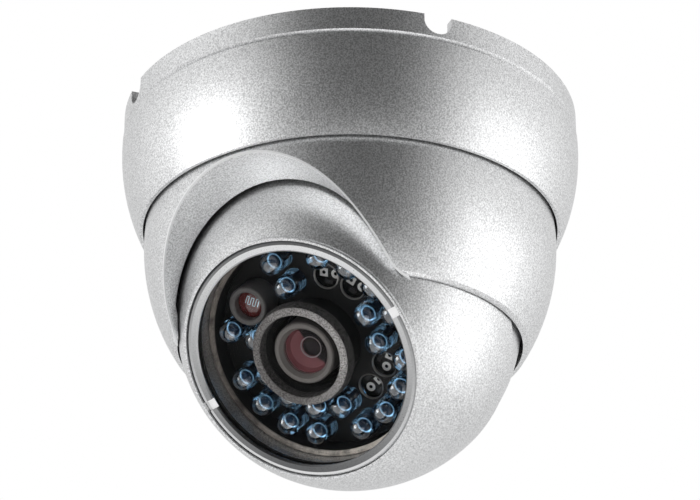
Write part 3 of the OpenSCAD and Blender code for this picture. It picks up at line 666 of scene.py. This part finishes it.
flare = ((ARCH_R + ARCH_CORNER) ** 2 - (foot + ARCH_CORNER) ** 2) ** 0.5
foot_turn = atan2(foot + ARCH_CORNER, flare)
half_outline = [(flare + ARCH_CORNER * cos(a), foot + ARCH_CORNER + ARCH_CORNER * sin(a))
                for a in [-pi / 2 - (pi / 2 - foot_turn) * k / 12 for k in range(12)]]
ARC_STEPS = 60
half_outline += [(ARCH_R * cos(a), ARCH_R * sin(a))
                 for a in [foot_turn + (pi / 2 - foot_turn) * k / ARC_STEPS
                           for k in range(ARC_STEPS + 1)]]
outline = half_outline + [(-u, v) for u, v in reversed(half_outline[:-1])]
edge_strip = bmesh.new()
rows = []
for k, (u, v) in enumerate(outline):
    ahead = outline[min(k + 1, len(outline) - 1)]
    back = outline[max(k - 1, 0)]
    along = Vector((ahead[0] - back[0], ahead[1] - back[1])).normalized()
    away = Vector((along.y, -along.x))
    corners = []
    for sideways_mm, sunk_mm in ((-0.02, -0.02), (0.36, -0.02), (0.36, 0.25), (-0.02, 0.42)):
        corners.append(edge_strip.verts.new(
            on_shell(u + away.x * sideways_mm, v + away.y * sideways_mm, SHELL_R - sunk_mm)))
    rows.append(corners)
for first, second in zip(rows, rows[1:]):
    for a in range(4):
        b = (a + 1) % 4
        edge_strip.faces.new((first[a], first[b], second[b], second[a]))
for end in (rows[0], rows[-1]):
    edge_strip.faces.new(end)
# Painted highlight: a bright strip along the arch edge stands in for the light that the edge catches.
painted_edge_highlight = plain("arch_edge_painted_highlight", (0.90, 0.905, 0.91), 0.5, 0.35, 0.4, 0.01, 0.05)
finish_mesh("arch_edge", edge_strip, "turret", painted_edge_highlight, Matrix.Identity(4))
print("arch edge:", len(outline), "points")

# %% [markdown]
# The studio is plain: a pale floor far below, a soft lamp on each side and one low down, and
# a world that the camera sees as white. Shiny paint needs something to mirror. In mirrors the
# world is bright to the left, to the right, below and behind the object, and dark in front.

# %% World, floor and lamps
FRONT = 32.4
scene = bpy.context.scene
scene.view_settings.view_transform = "Standard"
world = bpy.data.worlds.new("studio")
scene.world = world
world.use_nodes = True
sky = world.node_tree
sky.nodes.clear()
direction = add_node(sky, "ShaderNodeTexCoord", output="Generated")
heading = radians(FRONT + 5)
side = (cos(heading), sin(heading), 0.0)
sideways = add_node(sky, "ShaderNodeVectorMath", {"operation": "DOT_PRODUCT"},
                    {0: direction, 1: side}, "Value")
height = add_node(sky, "ShaderNodeVectorMath", {"operation": "DOT_PRODUCT"},
                  {0: direction, 1: (0.0, 0.0, 1.0)}, "Value")
beside = abs(sideways).above(0.62, 0.26)
below = (0.0 - height).above(0.55, 0.25)
front = (sin(heading), -cos(heading), 0.0)
forward = add_node(sky, "ShaderNodeVectorMath", {"operation": "DOT_PRODUCT"},
                   {0: direction, 1: front}, "Value")
behind = (0.0 - forward).above(0.15, 0.30) * 0.75
open_side = beside.most(below).most(behind)
path = sky.nodes.new("ShaderNodeLightPath")
seen = Wire(sky, path.outputs["Is Camera Ray"]) + Wire(sky, path.outputs["Is Transmission Ray"])
mirrored = Wire(sky, path.outputs["Is Glossy Ray"])
level = (seen + mirrored * (open_side * 0.97 + 0.03)
         + (1 - (seen + mirrored).clamp(0.0, 1.0)) * 0.62)
glow = add_node(sky, "ShaderNodeBackground", {}, {"Color": (1.0, 1.0, 1.0), "Strength": level})
ending = sky.nodes.new("ShaderNodeOutputWorld")
sky.links.new(glow.socket, ending.inputs["Surface"])
print("world ready")

# %% Floor
floor_mesh = bpy.data.meshes.new("studio_floor")
ground = bmesh.new()
bmesh.ops.create_circle(ground, cap_ends=True, segments=96, radius=2.6)
ground.to_mesh(floor_mesh)
ground.free()
floor = bpy.data.objects.new("studio_floor", floor_mesh)
floor.location = (0.0, 0.0, -1.3)
scene.collection.objects.link(floor)
pale_floor = bpy.data.materials.new("pale_floor")
pale_floor.use_nodes = True
tree = pale_floor.node_tree
tree.nodes.clear()
rays = tree.nodes.new("ShaderNodeLightPath")
watched = (Wire(tree, rays.outputs["Is Camera Ray"]) + Wire(tree, rays.outputs["Is Transmission Ray"])
           + Wire(tree, rays.outputs["Is Glossy Ray"]) * 0.75).clamp(0.0, 1.0)
matt = add_node(tree, "ShaderNodeBsdfDiffuse", {}, {"Color": (0.8, 0.8, 0.8)})
white = add_node(tree, "ShaderNodeEmission", {}, {"Color": (1.0, 1.0, 1.0)})
both = add_node(tree, "ShaderNodeMixShader", {}, {0: watched})
tree.links.new(matt.socket, both.socket.node.inputs[1])
tree.links.new(white.socket, both.socket.node.inputs[2])
tree.links.new(both.socket, tree.nodes.new("ShaderNodeOutputMaterial").inputs["Surface"])
floor_mesh.materials.append(pale_floor)
print("floor ready")

# %% Lamps
def lamp(name, turn, rise, distance, size, power):
    """A soft square lamp that looks at the object from a turn and a rise."""
    a, e = radians(turn), radians(rise)
    back = Vector((sin(a) * cos(e), -cos(a) * cos(e), sin(e)))
    light = bpy.data.lights.new(name, "AREA")
    light.size, light.energy = size, power
    holder = bpy.data.objects.new(name, light)
    holder.location = Vector((0.0, 0.0, -0.04)) + back * distance
    holder.rotation_euler = back.to_track_quat("Z", "Y").to_euler()
    scene.collection.objects.link(holder)


lamp("right_lamp", FRONT + 84, -12, 1.1, 0.9, 2.3)
lamp("left_lamp", FRONT - 71, -3, 1.1, 0.5, 2.5)
lamp("low_lamp", FRONT + 25, -68, 1.1, 0.8, 1.6)
print("lamps:", 3)

# %% [markdown]
# The camera stands low, in front and to the right, and looks up at the dome with a long lens.

# %% Camera
eye = bpy.data.cameras.new("camera")
eye.sensor_width, eye.lens = 36.0, 160.74
camera = bpy.data.objects.new("camera", eye)
camera.location = Vector((303.9, -478.8, -324.4)) * MM
target = Vector((-6.9, 10.8, -22.4)) * MM
camera.rotation_euler = (target - camera.location).to_track_quat("-Z", "Y").to_euler()
eye.clip_start, eye.clip_end = 0.01, 20.0
scene.collection.objects.link(camera)
scene.camera = camera
print("camera:", [round(c, 3) for c in camera.location])
